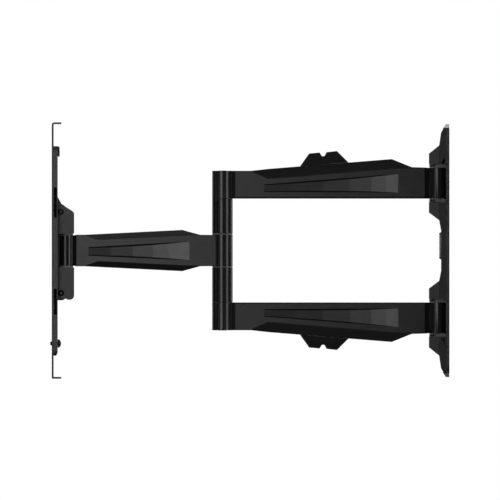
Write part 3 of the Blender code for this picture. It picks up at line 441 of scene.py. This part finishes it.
def cap_ring(word, way):
    """A raised ring on an end cap of the elbow column."""
    low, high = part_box(word + "_elbow_cap")
    place = ((low.x + high.x) / 2, (low.y + high.y) / 2, high.z if way > 0 else low.z)
    rings = [(-0.0006, 0.0068), (0.0002, 0.0068), (0.0004, 0.0066),
             (0.0004, 0.0052), (0.0002, 0.0050), (-0.0006, 0.0050)]
    ring = lathe(word + "_cap_ring", rings, place, (0, 0, way))
    attach(ring, "black_plastic", "wall_arms")


def vial():
    """A level vial, half sunk in the middle cover, with a black ring at each end and around the bubble."""
    low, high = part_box("level_vial")
    place = (0.0, VIAL_AXIS, (low.z + high.z) / 2)
    radius, half = VIAL_RADIUS, VIAL_HALF_LENGTH
    rings = [(-half, radius * 0.3), (-half + 0.0006, radius * 0.75), (-half + 0.002, radius),
             (half - 0.002, radius), (half - 0.0006, radius * 0.75), (half, radius * 0.3)]
    glass = lathe("level_vial_detail", rings, place, (0, 0, 1), VIAL_SIDES)
    attach(glass, "pale_lens", "wall_base", "level_vial")
    for number, (height, width) in enumerate(VIAL_BANDS):
        bottom, top = height - width, height + width
        rings = [(bottom, radius), (bottom, radius + BAND_RISE), (top, radius + BAND_RISE), (top, radius)]
        band = lathe(f"vial_band_{number}", rings, place, (0, 0, 1), VIAL_SIDES)
        attach(band, "black_plastic", "wall_base")


def add_details():
    tilt_bolt("tilt_lock_bolt", LOCK_BOLT_FACE)
    tilt_bolt("tilt_pivot_bolt", PIVOT_BOLT_FACE)
    for word in ("left", "right"):
        lock_knob(word)
    for word, way in (("upper", 1), ("lower", -1)):
        cap_ring(word, way)
    vial()


# ---- Studio ----

def make_floor():
    """A floor that is pale to the camera and dark in the mount's reflections."""
    level = cad_low.z - FLOOR_DROP
    corners = [(FLOOR_REACH * x, FLOOR_REACH * y, level) for x, y in ((-1, -1), (1, -1), (1, 1), (-1, 1))]
    mesh = bpy.data.meshes.new("studio_floor")
    mesh.from_pydata(corners, [], [(0, 1, 2, 3)])
    floor = bpy.data.objects.new("studio_floor", mesh)
    bpy.context.scene.collection.objects.link(floor)
    made, tree, shader = new_material("studio_floor")
    seen = tree.nodes.new("ShaderNodeLightPath").outputs["Is Camera Ray"]
    feed(tree, shader.inputs["Base Color"], colour_mix(tree, seen, FLOOR_REFLECTED, FLOOR_SEEN))
    feed(tree, shader.inputs["Roughness"], 0.8)
    feed(tree, shader.inputs["Specular IOR Level"], 0.1)
    feed(tree, shader.inputs["Emission Color"], WHITE)
    feed(tree, shader.inputs["Emission Strength"], calculate(tree, "MULTIPLY", seen, FLOOR_GLOW))
    mesh.materials.append(made)


def soft_box(name, place, target, width, height, radiance, mirrored=True):
    """A rectangular light at a place, facing a target, with the given brightness of its surface."""
    light = bpy.data.lights.new(name, "AREA")
    light.shape = "RECTANGLE"
    light.size = width
    light.size_y = height
    light.energy = radiance * math.pi * width * height
    item = bpy.data.objects.new(name, light)
    bpy.context.scene.collection.objects.link(item)
    item.location = place
    item.rotation_euler = (target - place).to_track_quat("-Z", "Y").to_euler()
    item.visible_camera = False
    item.visible_glossy = mirrored


def around(centre, azimuth, rise=0.0):
    """A place at the strips' distance from the centre; the rise is a share of that distance."""
    angle = math.radians(azimuth)
    return centre + Vector((math.cos(angle), math.sin(angle), rise)) * STRIP_DISTANCE


def make_lights():
    """Upright strips around the mount, a dim box above, and boxes that lighten its far sides."""
    centre = Vector((0.0, middle.y, 0.0))
    for name, (azimuth, half_angle, radiance) in STRIPS.items():
        width = 2 * STRIP_DISTANCE * math.tan(math.radians(half_angle))
        soft_box(name + "_strip", around(centre, azimuth), centre, width, STRIP_HEIGHT, radiance)
    above = centre + Vector((0.0, 0.0, TOP_BOX_HEIGHT))
    soft_box("top_box", above, centre, TOP_BOX_SIZE, TOP_BOX_SIZE, TOP_BOX_RADIANCE)
    for name, (azimuth, radiance) in FILLS.items():
        place = around(centre, azimuth, FILL_RISE)
        soft_box(name + "_fill", place, centre, FILL_SIZE, FILL_SIZE, radiance, mirrored=False)


def make_world():
    """White behind the mount, and almost black in its reflections."""
    world = bpy.data.worlds.new("studio_world")
    world.use_nodes = True
    tree = world.node_tree
    seen = tree.nodes.new("ShaderNodeLightPath").outputs["Is Camera Ray"]
    feed(tree, tree.nodes["Background"].inputs["Color"], colour_mix(tree, seen, WORLD_REFLECTED, WHITE))
    bpy.context.scene.world = world


def make_camera():
    """A camera without perspective, looking along the wall at the mount's right-hand side."""
    camera = bpy.data.cameras.new("camera")
    camera.type = "ORTHO"
    camera.ortho_scale = VIEW_WIDTH
    item = bpy.data.objects.new("camera", camera)
    bpy.context.scene.collection.objects.link(item)
    item.location = (CAMERA_DISTANCE, middle.y + CAMERA_SHIFT, CAMERA_HEIGHT)
    item.rotation_euler = (math.radians(90), 0.0, math.radians(90))
    bpy.context.scene.camera = item
    bpy.context.scene.view_settings.view_transform = "Standard"


dress_nodes()
add_details()
make_floor()
make_lights()
make_world()
make_camera()

bpy.context.view_layer.update()
